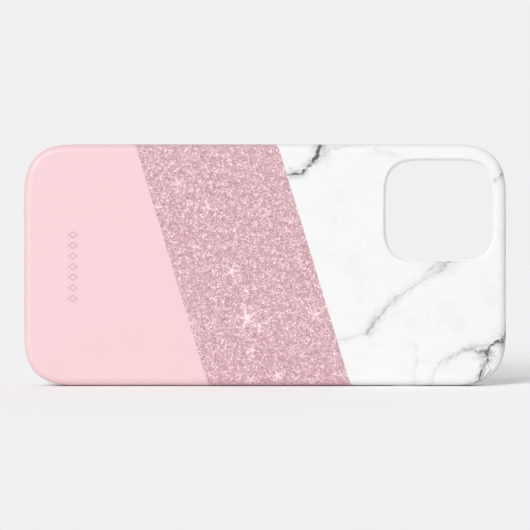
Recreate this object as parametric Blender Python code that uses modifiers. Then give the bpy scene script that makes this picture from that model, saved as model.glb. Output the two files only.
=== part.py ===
"""A two-piece phone case, empty, standing on its long volume-key side.

A hard printed shell covers the back and the sides. An elastomer liner sits inside it, ends in a front rim that
covers the shell's edge, and carries three captive side buttons, each a plated cap staked to a soft plunger.
The liner leaves the shell along +Y, because its button bosses lie in notches that are open to the front.

Frame: +X towards the phone's top end, +Z up across the phone's width, -Y out of the printed back.
Origin: under the middle of the case, on the face that it stands on.
Depths are counted from the printed back along +Y, and insets from the outer side faces inwards.
"""

import math

import bmesh
import bpy
from mathutils import Matrix, Vector

MM = 0.001

# The phone that the case is made for.
PHONE_LENGTH = 146.7 * MM
PHONE_WIDTH = 71.5 * MM
PHONE_THICKNESS = 7.4 * MM

# The case round it.
CASE_LENGTH = 150.5 * MM
CASE_HEIGHT = 75.3 * MM
SHELL_WALL = 1.1 * MM
LAYER_GAP = 0.1 * MM
LINER_BACK = 0.7 * MM
PHONE_SLACK = 0.05 * MM
LIP_THICKNESS = 1.3 * MM
LIP_OVERHANG = 1.0 * MM
RIM_DEPTH = 1.9 * MM

LINER_INSET = SHELL_WALL + LAYER_GAP
CAVITY_INSET = (CASE_LENGTH - PHONE_LENGTH) / 2 - PHONE_SLACK
CAVITY_FLOOR = LINER_INSET + LINER_BACK
CAVITY_ROOF = CAVITY_FLOOR + PHONE_THICKNESS + 2 * PHONE_SLACK
CASE_DEPTH = CAVITY_ROOF + LIP_THICKNESS
RIM_START = CASE_DEPTH - RIM_DEPTH
SHELL_EDGE = RIM_START - LAYER_GAP
MID_HEIGHT = CASE_HEIGHT / 2

# Corners whose curvature grows smoothly: a superellipse, wider than a circle of the same tightness.
CORNER_REACH = 17.4 * MM
CORNER_POWER = 2.87
CORNER_SEGMENTS = 12
BACK_ROUND = 2.0 * MM
FRONT_ROUND = 0.8 * MM
EDGE_SEGMENTS = 4
CIRCLE = 0.5

# The camera opening, in the corner by the phone's top end.
CAMERA_LENGTH = 33.6 * MM
CAMERA_HEIGHT = 31.2 * MM
CAMERA_X = 54.4 * MM
CAMERA_Z = MID_HEIGHT + 16.9 * MM
CAMERA_REACH = 12.7 * MM
CAMERA_POWER = 3.25
CAMERA_ROUND = 0.8 * MM
MOUTH_MARGIN = 0.1 * MM

# Keys on the long sides, by their distance from the phone's top end.
KEY_DEPTH = (CAVITY_FLOOR + CAVITY_ROOF) / 2
RING_SWITCH_FROM_TOP = 29.0 * MM
VOLUME_UP_FROM_TOP = 42.0 * MM
VOLUME_DOWN_FROM_TOP = 54.5 * MM
SIDE_KEY_FROM_TOP = 49.5 * MM
VOLUME_CAP_LENGTH = 9.4 * MM
SIDE_CAP_LENGTH = 18.4 * MM
RING_SLOT_LENGTH = 8.6 * MM
RING_SLOT_WIDTH = 3.8 * MM

# A button, through the side wall from outside in, as insets.
BOSS_INSET = 0.4 * MM
CAP_INSET = 0.05 * MM
CAP_THICKNESS = 0.55 * MM
CAP_WIDTH = 2.8 * MM
CAP_ROUND = 0.2 * MM
BUTTON_TRAVEL = 0.4 * MM
STAKE_GAP = 0.02 * MM
SLIDE_GAP = 0.12 * MM
WEB_THICKNESS = 0.3 * MM
STEM_SHORTER = 2.4 * MM
STEM_WIDTH = 1.4 * MM
FLANGE_SHORTER = 0.4 * MM
FLANGE_WIDTH = 2.4 * MM
FLANGE_THICKNESS = 0.22 * MM
RELIEF_MARGIN = 0.5 * MM

CAP_UNDERSIDE = CAP_INSET + CAP_THICKNESS
POCKET_FLOOR = CAP_UNDERSIDE + BUTTON_TRAVEL + STAKE_GAP
WEB_INNER = POCKET_FLOOR + WEB_THICKNESS
FLANGE_OUTER = WEB_INNER + STAKE_GAP
FLANGE_INNER = FLANGE_OUTER + FLANGE_THICKNESS

# Notches in the shell's long sides, open to the front, which the liner's bosses fill.
NOTCH_START = 3.0 * MM
NOTCH_ROUND = 1.6 * MM
NOTCH_MARGIN = 2.6 * MM
BOSS_GAP = 0.25 * MM

# Openings in the end that faces the phone's connector. The shell's port opening runs out to the shell's edge, and
# the liner's rim closes it.
PORT_WIDTH = 12.8 * MM
PORT_THICKNESS = 5.4 * MM
VENT_WIDTH = 11.5 * MM
VENT_THICKNESS = 2.8 * MM
VENT_OFFSET = 19.0 * MM
LINER_STEP = 0.4 * MM

# A pill's end radius as a share of its width: just under half, so that its flats don't vanish.
PILL = 0.48
PILL_SEGMENTS = 6

# How far a cutter runs past the material, and how far two shapes that are joined run into each other.
REACH = 3.0 * MM
JOIN_OVERLAP = 0.5 * MM


def bevel_profile(power):
    """Blender's bevel profile number for a superellipse of this power. A power of 2 gives a circle's 0.5."""
    return 2 ** (-2 / power)


def corner_at(inset):
    """The case's corner reach at this inset, so that walls keep their thickness round the corner."""
    diagonal = 1 - 2 ** (-1 / CORNER_POWER)
    return CORNER_REACH - inset * (math.sqrt(2) - 1) / (math.sqrt(2) * diagonal)


def at_depth(depth):
    return depth - CASE_DEPTH / 2


def from_top(distance):
    """The X of a feature that is this far from the phone's top end."""
    return PHONE_LENGTH / 2 - distance


def from_side(side, inset):
    """The Z of a point this far inside the upper (+1) or the lower (-1) long side."""
    return MID_HEIGHT + side * (MID_HEIGHT - inset)


def new_material(name, colour, roughness, metallic=0.0):
    material = bpy.data.materials.new(name)
    material.use_nodes = True
    surface = material.node_tree.nodes["Principled BSDF"]
    surface.inputs["Base Color"].default_value = (*colour, 1.0)
    surface.inputs["Roughness"].default_value = roughness
    surface.inputs["Metallic"].default_value = metallic
    return material


def new_collection(name):
    collection = bpy.data.collections.new(name)
    bpy.context.scene.collection.children.link(collection)
    return collection


def edges_at(bm, axis, value):
    return [e for e in bm.edges if all(abs(v.co[axis] - value) < 1e-7 for v in e.verts)]


def bevel_edges(bm, edges, reach, profile, segments):
    bmesh.ops.bevel(
        bm, geom=edges, offset=reach, offset_type="OFFSET", segments=segments, profile=profile, affect="EDGES"
    )


def block(name, ends, along, corner, profile=CIRCLE, segments=PILL_SEGMENTS, low_round=0.0, high_round=0.0):
    """A box between two opposite corners, with its four edges along one axis rounded, and then its two end faces'
    outlines."""
    low = Vector([min(pair) for pair in zip(*ends)])
    high = Vector([max(pair) for pair in zip(*ends)])
    bm = bmesh.new()
    bmesh.ops.create_cube(bm, size=1.0)
    bmesh.ops.scale(bm, vec=high - low, verts=bm.verts)
    bmesh.ops.translate(bm, vec=(low + high) / 2, verts=bm.verts)
    if corner:
        lengthwise = [e for e in bm.edges if abs(e.verts[0].co[along] - e.verts[1].co[along]) > 1e-7]
        bevel_edges(bm, lengthwise, corner, profile, segments)
    for value, radius in ((low[along], low_round), (high[along], high_round)):
        if radius:
            bevel_edges(bm, edges_at(bm, along, value), radius, CIRCLE, EDGE_SEGMENTS)
    mesh = bpy.data.meshes.new(name)
    bm.to_mesh(mesh)
    bm.free()
    return bpy.data.objects.new(name, mesh)


def case_block(name, inset, start, end, back_round=0.0, front_round=0.0):
    """A block with the case's outline, drawn in by an inset, between two depths."""
    half = CASE_LENGTH / 2 - inset
    ends = (
        (-half, at_depth(start), inset),
        (half, at_depth(end), CASE_HEIGHT - inset),
    )
    profile = bevel_profile(CORNER_POWER)
    return block(name, ends, 1, corner_at(inset), profile, CORNER_SEGMENTS, back_round, front_round)


def camera_block(name, margin, start, end):
    half = Vector((CAMERA_LENGTH / 2 + margin, 0, CAMERA_HEIGHT / 2 + margin))
    centre = Vector((CAMERA_X, 0, CAMERA_Z))
    ends = (
        centre - half + Vector((0, at_depth(start), 0)),
        centre + half + Vector((0, at_depth(end), 0)),
    )
    return block(name, ends, 1, CAMERA_REACH + margin, bevel_profile(CAMERA_POWER), CORNER_SEGMENTS)


def side_pill(name, side, x, length, width, outer, inner, low_round=0.0, high_round=0.0):
    """A pill through a long side wall, centred on the keys' line, between two insets."""
    y = at_depth(KEY_DEPTH)
    ends = (
        (x - length / 2, y - width / 2, from_side(side, outer)),
        (x + length / 2, y + width / 2, from_side(side, inner)),
    )
    return block(name, ends, 2, width * PILL, low_round=low_round, high_round=high_round)


def end_slot(name, z, width, start, end, corner):
    """A slot through both layers of the connector end's wall, between two depths."""
    ends = (
        (-CASE_LENGTH / 2 - REACH, at_depth(start), z - width / 2),
        (-CASE_LENGTH / 2 + CAVITY_INSET + REACH, at_depth(end), z + width / 2),
    )
    return block(name, ends, 0, corner)


def notch_block(name, side, span, gap, outer, inner, start, end):
    """The outline of a notch for a side's keys, drawn in by a gap, between two insets and two depths."""
    ends = (
        (span[0] + gap, at_depth(start) + gap, from_side(side, outer)),
        (span[1] - gap, at_depth(end), from_side(side, inner)),
    )
    return block(name, ends, 2, NOTCH_ROUND - gap)


def add_boolean(target, other, operation, cutters):
    """Cuts or joins other into target with a live modifier, and puts it among the helpers."""
    if other.name not in cutters.objects:
        cutters.objects.link(other)
        other.hide_render = True
        other.display_type = "WIRE"
    modifier = target.modifiers.new(other.name, "BOOLEAN")
    modifier.operation = operation
    modifier.object = other


def bake_modifiers(obj):
    bpy.context.view_layer.update()
    evaluated = obj.evaluated_get(bpy.context.evaluated_depsgraph_get())
    mesh = bpy.data.meshes.new_from_object(evaluated)
    obj.modifiers.clear()
    obj.data = mesh


def round_camera_mouth(obj):
    """Rounds the camera opening's outer edge, which the cut leaves sharp."""
    half_length = CAMERA_LENGTH / 2 + MOUTH_MARGIN
    half_height = CAMERA_HEIGHT / 2 + MOUTH_MARGIN
    bm = bmesh.new()
    bm.from_mesh(obj.data)
    mouth = []
    for edge in edges_at(bm, 1, at_depth(0)):
        inside_x = all(abs(v.co.x - CAMERA_X) < half_length for v in edge.verts)
        inside_z = all(abs(v.co.z - CAMERA_Z) < half_height for v in edge.verts)
        if inside_x and inside_z and edge.calc_face_angle(0) > math.radians(45):
            mouth.append(edge)
    bevel_edges(bm, mouth, CAMERA_ROUND, CIRCLE, EDGE_SEGMENTS)
    bm.to_mesh(obj.data)
    bm.free()


def finish_part(obj, parts, material, parent, origin):
    """Puts a part in its collection with its origin on the axis it moves along."""
    obj.data.transform(Matrix.Translation(-origin))
    obj.location = origin
    obj.data.materials.clear()
    obj.data.materials.append(material)
    obj.data.shade_smooth()
    obj.data.set_sharp_from_angle(angle=math.radians(35))
    if obj.name not in parts.objects:
        parts.objects.link(obj)
    obj.parent = parent
    obj.matrix_parent_inverse = Matrix.Translation(-parent.location)


def notch_spans():
    """For each side, the notch's low and high X: from the lowest key's end to the highest key's end."""
    volume = (
        from_top(VOLUME_DOWN_FROM_TOP) - VOLUME_CAP_LENGTH / 2 - NOTCH_MARGIN,
        from_top(RING_SWITCH_FROM_TOP) + RING_SLOT_LENGTH / 2 + NOTCH_MARGIN,
    )
    half = SIDE_CAP_LENGTH / 2 + NOTCH_MARGIN
    x = from_top(SIDE_KEY_FROM_TOP)
    return {-1: volume, 1: (x - half, x + half)}


def add_end_openings(target, prefix, margin, open_ended, cutters):
    """The connector opening and the speaker and microphone slots beside it."""
    slots = (
        ("port", MID_HEIGHT, PORT_WIDTH, PORT_THICKNESS, open_ended),
        ("speaker_slot", MID_HEIGHT - VENT_OFFSET, VENT_WIDTH, VENT_THICKNESS, False),
        ("microphone_slot", MID_HEIGHT + VENT_OFFSET, VENT_WIDTH, VENT_THICKNESS, False),
    )
    for name, z, width, thickness, to_edge in slots:
        start = KEY_DEPTH - thickness / 2 - margin
        end = SHELL_EDGE + REACH if to_edge else KEY_DEPTH + thickness / 2 + margin
        corner = (thickness + 2 * margin) * PILL
        cutter = end_slot(prefix + name, z, width + 2 * margin, start, end, corner)
        add_boolean(target, cutter, "DIFFERENCE", cutters)


def make_shell(parts, cutters, material, parent):
    """The open pan of the back and sides, with its camera opening, key notches and end openings."""
    shell = case_block("outer_shell", 0.0, 0.0, SHELL_EDGE, back_round=BACK_ROUND)
    bm = bmesh.new()
    bm.from_mesh(shell.data)
    front = [f for f in bm.faces if f.normal.y > 0.99]
    bmesh.ops.delete(bm, geom=front, context="FACES")
    bm.to_mesh(shell.data)
    bm.free()
    parts.objects.link(shell)
    wall = shell.modifiers.new("wall", "SOLIDIFY")
    wall.thickness = SHELL_WALL
    wall.offset = -1.0
    wall.use_even_offset = True
    camera = camera_block("shell_camera_cut", 0.0, -REACH, SHELL_WALL + REACH)
    add_boolean(shell, camera, "DIFFERENCE", cutters)
    for side, span in notch_spans().items():
        name = "shell_side_key_notch" if side > 0 else "shell_volume_notch"
        notch = notch_block(name, side, span, 0.0, -REACH, LINER_INSET, NOTCH_START, SHELL_EDGE + REACH)
        add_boolean(shell, notch, "DIFFERENCE", cutters)
    add_end_openings(shell, "shell_", 0.0, True, cutters)
    bake_modifiers(shell)
    round_camera_mouth(shell)
    finish_part(shell, parts, material, parent, Vector((0, 0, 0)))


def make_liner(parts, cutters, material, parent, keys):
    """The soft inner pan with its front rim and lip, key bosses, and a stepped hole for each button."""
    liner = case_block("inner_liner", LINER_INSET, LINER_INSET, RIM_START + JOIN_OVERLAP, BACK_ROUND - LINER_INSET)
    parts.objects.link(liner)
    rim = case_block("liner_rim", 0.0, RIM_START, CASE_DEPTH, 0.0, FRONT_ROUND)
    add_boolean(liner, rim, "UNION", cutters)
    for side, span in notch_spans().items():
        name = "liner_side_key_boss" if side > 0 else "liner_volume_boss"
        inner = LINER_INSET + JOIN_OVERLAP
        boss = notch_block(name, side, span, BOSS_GAP, BOSS_INSET, inner, NOTCH_START, RIM_START + NOTCH_ROUND)
        add_boolean(liner, boss, "UNION", cutters)
    cavity = case_block("liner_cavity", CAVITY_INSET, CAVITY_FLOOR, CAVITY_ROOF)
    add_boolean(liner, cavity, "DIFFERENCE", cutters)
    mouth_inset = CAVITY_INSET + PHONE_SLACK + LIP_OVERHANG
    mouth = case_block("liner_mouth", mouth_inset, CAVITY_ROOF - JOIN_OVERLAP, CASE_DEPTH + REACH)
    add_boolean(liner, mouth, "DIFFERENCE", cutters)
    camera = camera_block("liner_camera_cut", LINER_STEP, -REACH, CAVITY_FLOOR + REACH)
    add_boolean(liner, camera, "DIFFERENCE", cutters)
    ring_x = from_top(RING_SWITCH_FROM_TOP)
    ring = side_pill("liner_ring_slot", -1, ring_x, RING_SLOT_LENGTH, RING_SLOT_WIDTH, -REACH, REACH)
    add_boolean(liner, ring, "DIFFERENCE", cutters)
    for name, side, x, length in keys:
        add_button_hole(liner, name, side, x, length, cutters)
    add_end_openings(liner, "liner_", LINER_STEP, False, cutters)
    finish_part(liner, parts, material, parent, Vector((0, 0, MID_HEIGHT)))


def add_button_hole(liner, name, side, x, length, cutters):
    """A pocket for the cap, a slot in the web for the stem, and a relief for the flange and the phone's own key."""
    stem = length - STEM_SHORTER
    gap = 2 * SLIDE_GAP
    relief = 2 * RELIEF_MARGIN
    steps = (
        ("pocket", length + gap, CAP_WIDTH + gap, -REACH, POCKET_FLOOR),
        ("slot", stem + gap, STEM_WIDTH + gap, 0.0, REACH),
        ("relief", length + relief, FLANGE_WIDTH + relief, WEB_INNER, REACH),
    )
    for step, slot_length, width, outer, inner in steps:
        cutter = side_pill(f"liner_{name}_{step}", side, x, slot_length, width, outer, inner)
        add_boolean(liner, cutter, "DIFFERENCE", cutters)


def make_button(name, side, x, length, parts, cutters, cap_material, plunger_material, parent):
    """A cap in the liner's pocket, and its plunger, whose stem passes the web and whose flange keeps it captive."""
    origin = Vector((x, at_depth(KEY_DEPTH), from_side(side, 0.0)))
    empty = bpy.data.objects.new(name + "_axis", None)
    empty.location = origin
    empty.parent = parent
    empty.matrix_parent_inverse = Matrix.Translation(-parent.location)
    parts.objects.link(empty)

    outer_round = {"high_round": CAP_ROUND} if side > 0 else {"low_round": CAP_ROUND}
    cap = side_pill(name + "_cap", side, x, length, CAP_WIDTH, CAP_INSET, CAP_UNDERSIDE, **outer_round)
    finish_part(cap, parts, cap_material, empty, origin)

    stem_length = length - STEM_SHORTER
    flange_length = length - FLANGE_SHORTER
    overlap = FLANGE_THICKNESS / 2
    plunger = side_pill(
        name + "_plunger", side, x, stem_length, STEM_WIDTH, CAP_UNDERSIDE + STAKE_GAP, FLANGE_OUTER + overlap
    )
    flange = side_pill(name + "_flange", side, x, flange_length, FLANGE_WIDTH, FLANGE_OUTER, FLANGE_INNER)
    add_boolean(plunger, flange, "UNION", cutters)
    finish_part(plunger, parts, plunger_material, empty, origin)


def main():
    for obj in list(bpy.data.objects):
        bpy.data.objects.remove(obj)
    parts = new_collection("phone_case")
    cutters = new_collection("cutters")

    shell_material = new_material("printed_polycarbonate", (0.91, 0.72, 0.74), 0.35)
    liner_material = new_material("soft_elastomer", (0.82, 0.82, 0.83), 0.6)
    cap_material = new_material("plated_cap", (0.8, 0.68, 0.64), 0.25, 1.0)
    plunger_material = new_material("plunger_elastomer", (0.5, 0.5, 0.52), 0.6)

    case = bpy.data.objects.new("case", None)
    parts.objects.link(case)
    liner_axis = bpy.data.objects.new("liner_axis", None)
    liner_axis.location = (0, 0, MID_HEIGHT)
    liner_axis.parent = case
    parts.objects.link(liner_axis)

    keys = (
        ("volume_up", -1, from_top(VOLUME_UP_FROM_TOP), VOLUME_CAP_LENGTH),
        ("volume_down", -1, from_top(VOLUME_DOWN_FROM_TOP), VOLUME_CAP_LENGTH),
        ("side_button", 1, from_top(SIDE_KEY_FROM_TOP), SIDE_CAP_LENGTH),
    )
    make_shell(parts, cutters, shell_material, case)
    make_liner(parts, cutters, liner_material, liner_axis, keys)
    for name, side, x, length in keys:
        make_button(name, side, x, length, parts, cutters, cap_material, plunger_material, liner_axis)


main()
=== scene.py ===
"""The looks of the phone case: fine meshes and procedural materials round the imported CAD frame.

Sizes in this file are in millimetres in the case's own terms: an inset is measured inwards from the outer
side faces, and a depth from the printed back along +Y. Meshes are made in metres, in the CAD's frame.
"""

import math

import bmesh
import bpy
import numpy as np
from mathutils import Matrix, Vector


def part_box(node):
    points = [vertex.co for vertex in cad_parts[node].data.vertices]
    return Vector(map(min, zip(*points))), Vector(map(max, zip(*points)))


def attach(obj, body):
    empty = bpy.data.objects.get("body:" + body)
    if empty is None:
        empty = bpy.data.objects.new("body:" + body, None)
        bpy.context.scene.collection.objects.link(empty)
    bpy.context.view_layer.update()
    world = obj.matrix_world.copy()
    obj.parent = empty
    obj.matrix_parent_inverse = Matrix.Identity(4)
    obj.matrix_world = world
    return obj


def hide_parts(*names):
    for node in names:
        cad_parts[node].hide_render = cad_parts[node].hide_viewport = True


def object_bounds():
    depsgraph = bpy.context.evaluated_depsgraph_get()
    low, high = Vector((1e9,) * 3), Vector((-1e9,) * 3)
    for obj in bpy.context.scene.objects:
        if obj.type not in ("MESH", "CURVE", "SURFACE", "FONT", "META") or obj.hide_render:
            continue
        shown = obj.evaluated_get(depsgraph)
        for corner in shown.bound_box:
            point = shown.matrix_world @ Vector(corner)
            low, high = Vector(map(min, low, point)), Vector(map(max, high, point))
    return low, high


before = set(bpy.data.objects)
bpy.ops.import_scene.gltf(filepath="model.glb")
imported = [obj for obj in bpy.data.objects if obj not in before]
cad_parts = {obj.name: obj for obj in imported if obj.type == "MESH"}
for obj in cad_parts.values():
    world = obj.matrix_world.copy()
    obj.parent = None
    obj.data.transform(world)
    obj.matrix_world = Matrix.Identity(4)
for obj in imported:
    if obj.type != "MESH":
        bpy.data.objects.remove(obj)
cad_low, cad_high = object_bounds()

MM = 0.001
PER_MM = 1000.0

# The case, from the CAD model's box.
LENGTH = (cad_high.x - cad_low.x) * PER_MM
HEIGHT = (cad_high.z - cad_low.z) * PER_MM
DEPTH = (cad_high.y - cad_low.y) * PER_MM
MIDDLE = (cad_low + cad_high) / 2

# Layers, as insets and depths.
SHELL_WALL = 1.1
SHELL_EDGE = (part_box("outer_shell")[1].y - cad_low.y) * PER_MM
LINER_INSET = 1.2
CAVITY_INSET = 1.85
CAVITY_FLOOR = 1.9
CAVITY_ROOF = 9.4
RIM_START = 8.8
LIP_INSET = 2.9
PAD_HEIGHT = 0.12
LINER_FLOOR = CAVITY_FLOOR - PAD_HEIGHT

# Sharp edges are broken with small rounds. The angles are in degrees: sharp above one, flat below the other.
SHELL_BREAK = 0.2
LINER_BREAK = 0.1
SHARP_ANGLE = 50
FLAT_ANGLE = 0.3

# The outline: a rounded rectangle with superellipse corners.
CORNER_REACH = 17.4
CORNER_POWER = 2.87
CORNER_STEPS = 28
BACK_ROUND = 2.0
BACK_EASE = 2.4
FRONT_ROUND = 0.8
FLAT_MARGIN = 0.08

# The camera opening.
CAMERA_X = 54.4
CAMERA_Z = 16.9
CAMERA_HALF = (16.8, 15.6)
CAMERA_REACH = 12.7
CAMERA_POWER = 3.25
CAMERA_ROUND = (1.0, 0.85)
MOUTH_POWER = 1.35
CAMERA_LINER_STEP = 0.4
CAMERA_LINER_ROUND = (0.12, 0.12)

# Keys, along X, and the depth of their centres.
KEY_DEPTH = (CAVITY_FLOOR + CAVITY_ROOF) / 2
NOTCH_START = 3.0
NOTCH_CORNER = 1.6
NOTCH_POWER = 2.3
BOSS_GAP = 0.25
BOSS_INSET = 0.4
BOSS_EDGE = 0.2
BOSS_ROOT = 0.5
NOTCH_MARGIN = 2.6
CAP_WIDTH = 2.8
CAP_GAP = 0.12
CAP_EDGE = 0.05
CAP_CHAMFER = 0.16
CAP_LAND = 0.16
POCKET_FLOOR = 1.02
WEB_INNER = 1.32

# The dish in a cap's top, as (inset past its flat rim, depth), and its flat middle's inset and depth.
CAP_DISH = ((0.0, 0.0), (0.08, 0.015), (0.34, 0.056))
CAP_DISH_MIDDLE = (CAP_WIDTH * 0.42, 0.07)

STEM_SHORTER = 2.4
STEM_WIDTH = 1.4
RELIEF_MARGIN = 0.5
FLANGE_WIDTH = 2.4
RING_SLOT = (8.6, 3.8)
RING_SLOT_FROM_UP = 13.0

# The openings at the connector end: offset across the case, width and thickness.
PORT = (0.0, 12.8, 5.4)
VENTS = ((-19.0, 11.5, 2.8), (19.0, 11.5, 2.8))

# Corners reach almost half of a pill's width or a slot's thickness, so no two points of its outline coincide.
PILL_ROUNDING = 0.499
SLOT_ROUNDING = 0.49
ROUND_STEPS = 10
NOTCH_STEPS = 8

# How far a cutter runs past what it cuts.
REACH = 3.0


# ----------------------------------------------------------------------------------------- outlines


def quarter(reach, power, steps):
    """A quarter of a superellipse, from +A to +B, with its outward normals."""
    points, normals = [], []
    for i in range(steps + 1):
        angle = math.pi / 2 * i / steps
        c, s = math.cos(angle), math.sin(angle)
        radius = reach / (c**power + s**power) ** (1 / power)
        a, b = radius * c, radius * s
        slope = Vector(((a / reach) ** (power - 1), (b / reach) ** (power - 1))).normalized()
        points.append((a, b))
        normals.append(tuple(slope))
    return points, normals


def rounded_outline(half, reach, power, steps, centre=(0.0, 0.0)):
    """Points and outward normals round a rectangle with superellipse corners, from its +A side."""
    corner, slopes = quarter(reach, power, steps)
    points, normals = [], []
    for sign_a, sign_b, backwards in ((1, 1, False), (-1, 1, True), (-1, -1, False), (1, -1, True)):
        order = range(steps, -1, -1) if backwards else range(steps + 1)
        for i in order:
            a = half[0] - reach + corner[i][0]
            b = half[1] - reach + corner[i][1]
            points.append((centre[0] + sign_a * a, centre[1] + sign_b * b))
            normals.append((sign_a * slopes[i][0], sign_b * slopes[i][1]))
    return np.array(points), np.array(normals)


def case_outline():
    return rounded_outline((LENGTH / 2, HEIGHT / 2), CORNER_REACH, CORNER_POWER, CORNER_STEPS)


def camera_outline():
    centre = (CAMERA_X, CAMERA_Z)
    return rounded_outline(CAMERA_HALF, CAMERA_REACH, CAMERA_POWER, CORNER_STEPS, centre)


def turn(centre, radius, start, end, steps):
    """Points of an arc in a profile, between two angles in degrees: 0 is more inset, 90 is deeper.

    The radius is a number, or a pair for an ellipse: along the inset and along the depth.
    """
    wide, deep = radius if isinstance(radius, tuple) else (radius, radius)
    angles = [math.radians(start + (end - start) * i / steps) for i in range(steps + 1)]
    return [(centre[0] + wide * math.cos(t), centre[1] + deep * math.sin(t)) for t in angles]


# ------------------------------------------------------------------------------------------- meshes


def on_back(a, b, height):
    """A point of an outline seen from behind, at a depth, in the frame."""
    return Vector((MIDDLE.x + a * MM, cad_low.y + height * MM, MIDDLE.z + b * MM))


def on_side(side):
    """Places an outline seen from a long side, at an inset from the upper (+1) or the lower (-1) side."""

    def place(a, b, height):
        z = cad_high.z - height * MM if side > 0 else cad_low.z + height * MM
        return Vector((MIDDLE.x + a * MM, cad_low.y + b * MM, z))

    return place


def on_end(a, b, height):
    """A point of an outline seen from the connector end, at an inset from it."""
    return Vector((cad_low.x + height * MM, cad_low.y + b * MM, MIDDLE.z + a * MM))


def join_rings(bm, rings, closed):
    """Adds the faces between each ring of vertices and the next, and over both ends if it is closed."""
    count = len(rings[0])
    for lower, upper in zip(rings, rings[1:]):
        for i in range(count):
            j = (i + 1) % count
            bm.faces.new((lower[i], lower[j], upper[j], upper[i]))
    if closed:
        bm.faces.new(rings[0])
        bm.faces.new(rings[-1])


def add_loft(bm, outline, profile, place, closed=False):
    """Joins rings of an outline, one for each (inset, height) of a profile.

    Returns the first and the last ring.
    """
    points, normals = outline
    rings = []
    for inset, height in profile:
        ring = points - normals * inset
        rings.append([bm.verts.new(place(a, b, height)) for a, b in ring])
    join_rings(bm, rings, closed)
    return rings[0], rings[-1]


def fill_between(bm, *loops):
    """Fills a flat region between an outer loop of vertices and the loops inside it."""
    bm.edges.ensure_lookup_table()
    edges = []
    for loop in loops:
        for i, vertex in enumerate(loop):
            edges.append(bm.edges.get((vertex, loop[(i + 1) % len(loop)])))
    bmesh.ops.triangle_fill(bm, use_beauty=True, edges=edges)


def finish_mesh(bm, name):
    """Turns the mesh data into an object in the scene, with its faces pointing outwards."""
    bmesh.ops.recalc_face_normals(bm, faces=bm.faces)
    mesh = bpy.data.meshes.new(name)
    bm.to_mesh(mesh)
    bm.free()
    obj = bpy.data.objects.new(name, mesh)
    bpy.context.scene.collection.objects.link(obj)
    return obj


def prism(name, outline, profile, place):
    """A closed solid from an outline and its profile."""
    bm = bmesh.new()
    add_loft(bm, outline, profile, place, closed=True)
    return finish_mesh(bm, name)


def combine(target, tools, operation):
    """Joins or cuts each tool into the target, and removes the tools."""
    for tool in tools:
        modifier = target.modifiers.new(tool.name, "BOOLEAN")
        modifier.operation = operation
        modifier.object = tool
    evaluated = target.evaluated_get(bpy.context.evaluated_depsgraph_get())
    mesh = bpy.data.meshes.new_from_object(evaluated)
    target.modifiers.clear()
    target.data = mesh
    for tool in tools:
        bpy.data.objects.remove(tool)


def round_sharp_edges(obj, radius, steps):
    """Breaks every sharp edge of a mesh with a small round."""
    bm = bmesh.new()
    bm.from_mesh(obj.data)
    bmesh.ops.dissolve_limit(bm, angle_limit=math.radians(FLAT_ANGLE), verts=bm.verts, edges=bm.edges)
    sharp = [e for e in bm.edges if e.is_manifold and e.calc_face_angle() > math.radians(SHARP_ANGLE)]
    shape = {"offset": radius * MM, "segments": steps, "profile": 0.5}
    bmesh.ops.bevel(bm, geom=sharp, affect="EDGES", clamp_overlap=False, **shape)
    bm.to_mesh(obj.data)
    bm.free()


def shade(obj, angle=40):
    """Smooth shading that keeps flat faces flat, with true edges above an angle."""
    obj.data.shade_smooth()
    obj.data.set_sharp_from_angle(angle=math.radians(angle))
    modifier = obj.modifiers.new("flat faces stay flat", "WEIGHTED_NORMAL")
    modifier.keep_sharp = True
    modifier.weight = 80


# --------------------------------------------------------------------------------------------- keys


def node_span(node):
    """The low and high X of a CAD node."""
    low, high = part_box(node)
    return (low.x - MIDDLE.x) * PER_MM, (high.x - MIDDLE.x) * PER_MM


def button_places():
    """For each button: its side, the middle of its cap along X, and its cap's length, from the CAD nodes."""
    places = {}
    for button, side in (("volume_up", -1), ("volume_down", -1), ("side_button", 1)):
        low, high = node_span(button + "_cap")
        places[button] = (side, (low + high) / 2, high - low)
    return places


BUTTONS = button_places()
RING_X = BUTTONS["volume_up"][1] + RING_SLOT_FROM_UP


def notch_span(side):
    """The low and high X of the notch for a side's keys."""
    ends = [x + sign * length / 2 for s, x, length in BUTTONS.values() if s == side for sign in (-1, 1)]
    if side < 0:
        ends.append(RING_X + RING_SLOT[0] / 2)
    return min(ends) - NOTCH_MARGIN, max(ends) + NOTCH_MARGIN


def pill(length, width, x):
    """A pill's outline, centred on the keys' line."""
    half = (length / 2, width / 2)
    return rounded_outline(half, width * PILL_ROUNDING, 2.0, ROUND_STEPS, (x, KEY_DEPTH))


def notch_outline(side, gap, front):
    """A key notch's outline, drawn in by a gap, that runs past the shell's front edge to a given depth."""
    low, high = notch_span(side)
    start = NOTCH_START + gap
    half = ((high - low) / 2 - gap, (front - start) / 2)
    centre = ((low + high) / 2, (front + start) / 2)
    return rounded_outline(half, NOTCH_CORNER - gap, NOTCH_POWER, NOTCH_STEPS, centre)


def end_slot(offset, width, start, end, name):
    """A cutter through the connector end's wall, between two depths."""
    half = (width / 2, (end - start) / 2)
    reach = (KEY_DEPTH - start) * 2 * SLOT_ROUNDING
    outline = rounded_outline(half, reach, 2.0, ROUND_STEPS, (offset, (start + end) / 2))
    return prism(name, outline, [(0, -REACH), (0, CAVITY_INSET + REACH)], on_end)


# -------------------------------------------------------------------------------------------- shell


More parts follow.
